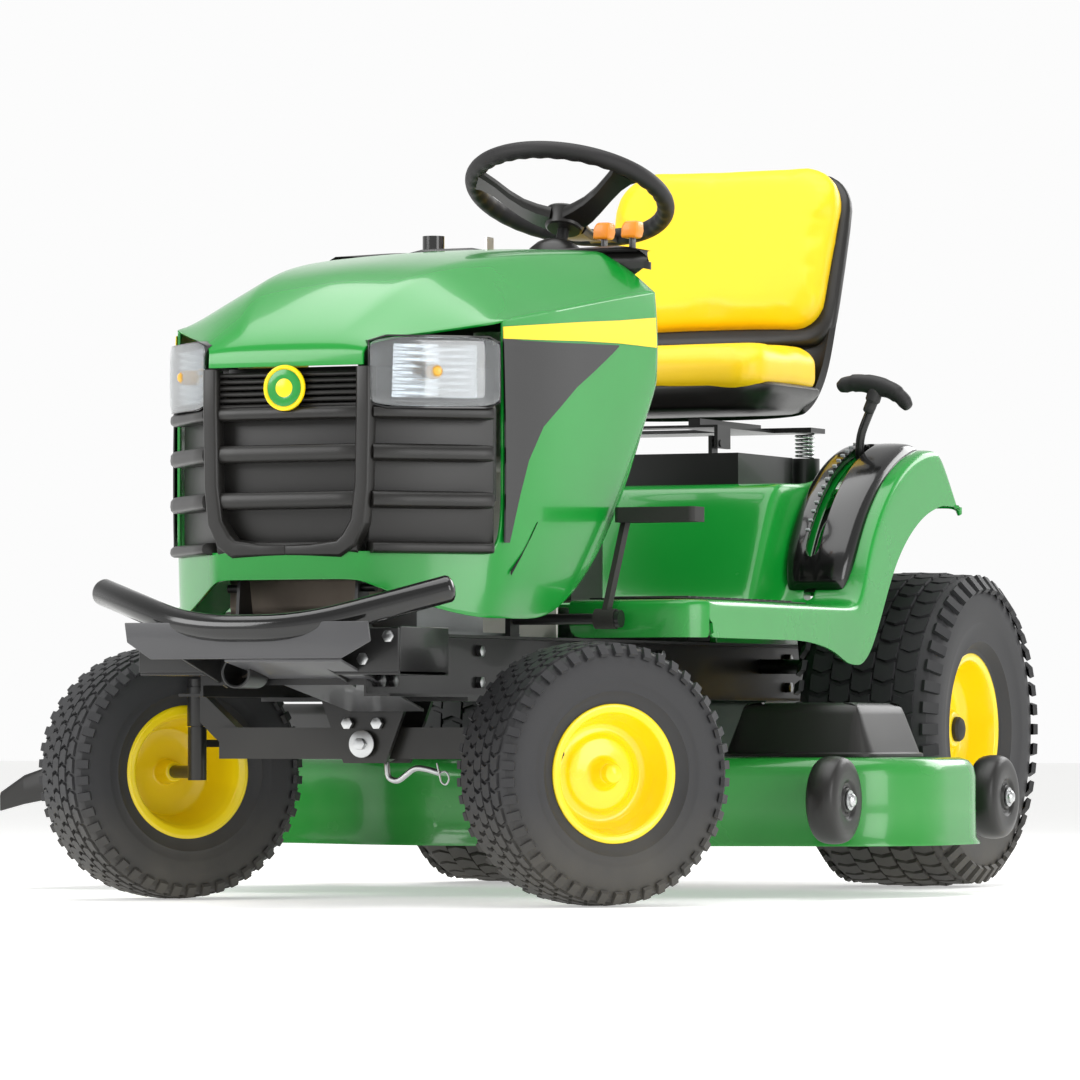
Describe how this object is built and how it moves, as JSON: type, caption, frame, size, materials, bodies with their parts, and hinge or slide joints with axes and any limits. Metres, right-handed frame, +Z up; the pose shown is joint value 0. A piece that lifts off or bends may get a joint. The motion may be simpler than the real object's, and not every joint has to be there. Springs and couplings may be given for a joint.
{
  "type": "riding lawn mower",
  "caption": "Ride-on lawn mower with tipping hood, steered front wheels, bucket seat, side-discharge cutting deck, lift lever and front bumper.",
  "frame": {"origin": "bottom centre of the whole machine's bounding box, on the ground", "axes": "+Z up, the front faces -Y, +X is the operator's left"},
  "size_m": [1.545, 1.97, 1.19],
  "materials": {
    "frame_black": "satin",
    "bumper_black": "gloss",
    "bracket_grey": "satin",
    "zinc": "zinc plated",
    "rim_yellow": "gloss",
    "tyre_rubber": "matt",
    "cast_alloy": "cast",
    "black_plastic": "moulded",
    "hot_steel": "heat tinted",
    "tank_plastic": "moulded",
    "hood_green": "gloss",
    "lens_clear": "clear",
    "lever_orange": "moulded",
    "lift_black": "satin",
    "seat_yellow": "vinyl",
    "deck_green": "gloss",
    "blade_steel": "satin"
  },
  "bodies": {
    "chassis": {"frame_rail_left": "frame_black", "frame_rail_right": "frame_black", "frame_crossmembers": "frame_black", "hitch_plate": "frame_black", "bumper_bar": "bumper_black", "bumper_bracket": "bracket_grey", "hood_hinge_bracket": "frame_black", "transaxle": "cast_alloy", "engine_block": "cast_alloy", "engine_shroud": "black_plastic", "muffler": "hot_steel", "fuel_tank": "tank_plastic", "battery": "black_plastic", "dash_pedestal": "black_plastic", "fender_deck": "hood_green", "lever_console": "black_plastic", "seat_platform": "black_plastic", "seat_springs": "zinc"},
    "front_axle": {"front_axle": "frame_black"},
    "knuckle_left": {"steering_knuckle_left": "frame_black"},
    "knuckle_right": {"steering_knuckle_right": "frame_black"},
    "tie_rod": {"tie_rod": "zinc"},
    "front_wheel_left": {"front_rim_left": "rim_yellow", "front_tyre_left": "tyre_rubber"},
    "front_wheel_right": {"front_rim_right": "rim_yellow", "front_tyre_right": "tyre_rubber"},
    "rear_wheel_left": {"rear_rim_left": "rim_yellow", "rear_tyre_left": "tyre_rubber", "rear_axle_left": "zinc"},
    "rear_wheel_right": {"rear_rim_right": "rim_yellow", "rear_tyre_right": "tyre_rubber", "rear_axle_right": "zinc"},
    "steering": {"steering_wheel": "black_plastic", "steering_shaft": "zinc"},
    "hood": {"hood_shell": "hood_green", "hood_grille": "black_plastic", "headlight_lenses": "lens_clear", "headlight_housings": "black_plastic"},
    "throttle": {"throttle_lever": "lever_orange"},
    "park_brake": {"park_brake_lever": "lever_orange"},
    "pto": {"pto_knob": "black_plastic"},
    "key": {"ignition_key": "zinc"},
    "brake": {"brake_pedal": "frame_black"},
    "forward": {"forward_pedal": "frame_black"},
    "reverse": {"reverse_pedal": "frame_black"},
    "lift": {"lift_lever": "lift_black"},
    "seat_frame": {"seat_bracket": "frame_black"},
    "seat": {"seat_shell": "black_plastic", "seat_base_cushion": "seat_yellow", "seat_back_cushion": "seat_yellow"},
    "deck": {"deck_shell": "deck_green", "deck_belt_covers": "black_plastic"},
    "blade_left": {"blade_spindle_left": "blade_steel"},
    "blade_centre": {"blade_spindle_centre": "blade_steel"},
    "blade_right": {"blade_spindle_right": "blade_steel"},
    "roller_front_left": {"gauge_wheel_front_left": "black_plastic"},
    "roller_front_right": {"gauge_wheel_front_right": "black_plastic"},
    "roller_rear_left": {"gauge_wheel_rear_left": "black_plastic"},
    "roller_rear_right": {"gauge_wheel_rear_right": "black_plastic"},
    "chute": {"chute_deflector": "black_plastic"}
  },
  "joints": [
    {"name": "axle_pivot", "type": "hinge", "parent": "chassis", "child": "front_axle", "pos_m": [0.1325, -0.545, 0.232], "axis": [0, 1, 0], "range_deg": [-3.5, 3.5]},
    {"name": "steer_left", "type": "hinge", "parent": "front_axle", "child": "knuckle_left", "pos_m": [0.4305, -0.545, 0.25], "axis": [0, 0, 1], "range_deg": [-3, 77]},
    {"name": "steer_right", "type": "hinge", "parent": "front_axle", "child": "knuckle_right", "pos_m": [-0.1655, -0.545, 0.25], "axis": [0, 0, 1], "range_deg": [-3, 77]},
    {"name": "tie_rod_swing", "type": "hinge", "parent": "knuckle_left", "child": "tie_rod", "pos_m": [0.49068, -0.46514, 0.237], "axis": [0, 0, 1], "range_deg": [-77, 3]},
    {"name": "steering_turn", "type": "hinge", "parent": "chassis", "child": "steering", "pos_m": [0.1325, 0.087, 0.975], "axis": [0, 0.3827, 0.9239], "range_deg": [-12, 308]},
    {"name": "front_spin_left", "type": "hinge", "parent": "knuckle_left", "child": "front_wheel_left", "pos_m": [0.50397, -0.60037, 0.19], "axis": [0.7986, -0.6018, 0], "continuous": true},
    {"name": "rear_spin_left", "type": "hinge", "parent": "chassis", "child": "rear_wheel_left", "pos_m": [0.489, 0.705, 0.254], "axis": [1, 0, 0], "continuous": true},
    {"name": "front_spin_right", "type": "hinge", "parent": "knuckle_right", "child": "front_wheel_right", "pos_m": [-0.23897, -0.48963, 0.19], "axis": [0.7986, -0.6018, 0], "continuous": true},
    {"name": "rear_spin_right", "type": "hinge", "parent": "chassis", "child": "rear_wheel_right", "pos_m": [-0.224, 0.705, 0.254], "axis": [1, 0, 0], "continuous": true},
    {"name": "hood_tip", "type": "hinge", "parent": "chassis", "child": "hood", "pos_m": [0.1325, -0.79, 0.455], "axis": [1, 0, 0], "range_deg": [0, 60]},
    {"name": "throttle_swing", "type": "hinge", "parent": "chassis", "child": "throttle", "pos_m": [0.2275, 0.055, 0.935], "axis": [1, 0, 0], "range_deg": [-25, 25]},
    {"name": "park_brake_swing", "type": "hinge", "parent": "chassis", "child": "park_brake", "pos_m": [0.3325, -0.075, 0.905], "axis": [1, 0, 0], "range_deg": [-18, 18]},
    {"name": "pto_pull", "type": "slide", "parent": "chassis", "child": "pto", "axis": [0, 0, 1], "range_m": [0, 0.02]},
    {"name": "key_turn", "type": "hinge", "parent": "chassis", "child": "key", "pos_m": [0.0425, 0.03, 0.99], "axis": [0, 0, 1], "range_deg": [-60, 60]},
    {"name": "brake_press", "type": "hinge", "parent": "chassis", "child": "brake", "pos_m": [0.1325, -0.405, 0.415], "axis": [1, 0, 0], "range_deg": [0, 22], "stiffness_Nm_per_rad": 8, "springref_deg": -20.05},
    {"name": "forward_press", "type": "hinge", "parent": "chassis", "child": "forward", "pos_m": [0.1325, -0.405, 0.415], "axis": [1, 0, 0], "range_deg": [0, 16], "stiffness_Nm_per_rad": 8, "springref_deg": -20.05},
    {"name": "reverse_press", "type": "hinge", "parent": "chassis", "child": "reverse", "pos_m": [0.1325, -0.405, 0.415], "axis": [1, 0, 0], "range_deg": [0, 8], "stiffness_Nm_per_rad": 8, "springref_deg": -20.05},
    {"name": "lift_swing", "type": "hinge", "parent": "chassis", "child": "lift", "pos_m": [0.1325, 0.595, 0.355], "axis": [1, 0, 0], "range_deg": [-5, 36]},
    {"name": "deck_travel", "type": "slide", "parent": "chassis", "child": "deck", "axis": [0, 0, 1], "range_m": [-0.052, 0.008]},
    {"name": "seat_tilt", "type": "hinge", "parent": "chassis", "child": "seat_frame", "pos_m": [0.1325, 0.35, 0.706], "axis": [1, 0, 0], "range_deg": [0, 55]},
    {"name": "seat_slide", "type": "slide", "parent": "seat_frame", "child": "seat", "axis": [0, 1, 0], "range_m": [-0.05, 0.05]},
    {"name": "blade_spin_left", "type": "hinge", "parent": "deck", "child": "blade_left", "pos_m": [0.5375, 0.14, 0.095], "axis": [0, 0, 1], "continuous": true},
    {"name": "blade_spin_centre", "type": "hinge", "parent": "deck", "child": "blade_centre", "pos_m": [0.1375, -0.015, 0.095], "axis": [0, 0, 1], "continuous": true},
    {"name": "blade_spin_right", "type": "hinge", "parent": "deck", "child": "blade_right", "pos_m": [-0.2625, 0.14, 0.095], "axis": [0, 0, 1], "continuous": true},
    {"name": "roller_spin_front_left", "type": "hinge", "parent": "deck", "child": "roller_front_left", "pos_m": [0.6805, -0.122, 0.148], "axis": [1, 0, 0], "continuous": true},
    {"name": "roller_spin_rear_left", "type": "hinge", "parent": "deck", "child": "roller_rear_left", "pos_m": [0.7165, 0.452, 0.148], "axis": [1, 0, 0], "continuous": true},
    {"name": "roller_spin_front_right", "type": "hinge", "parent": "deck", "child": "roller_front_right", "pos_m": [-0.4155, -0.222, 0.148], "axis": [1, 0, 0], "continuous": true},
    {"name": "roller_spin_rear_right", "type": "hinge", "parent": "deck", "child": "roller_rear_right", "pos_m": [-0.4515, 0.452, 0.148], "axis": [1, 0, 0], "continuous": true},
    {"name": "chute_lift", "type": "hinge", "parent": "deck", "child": "chute", "pos_m": [-0.4965, -0.07, 0.217], "axis": [0, 1, 0], "range_deg": [0, 75], "stiffness_Nm_per_rad": 4, "springref_deg": -51.57}
  ],
  "couplings": [
    {"joint": "steer_left", "follows": "steering_turn", "ratio": 0.25},
    {"joint": "steer_right", "follows": "steering_turn", "ratio": 0.25},
    {"joint": "tie_rod_swing", "follows": "steering_turn", "ratio": -0.25},
    {"joint": "deck_travel", "follows": "lift_swing", "m_per_rad": -0.08},
    {"joint": "blade_spin_centre", "follows": "blade_spin_left", "ratio": 1},
    {"joint": "blade_spin_right", "follows": "blade_spin_left", "ratio": 1}
  ]
}
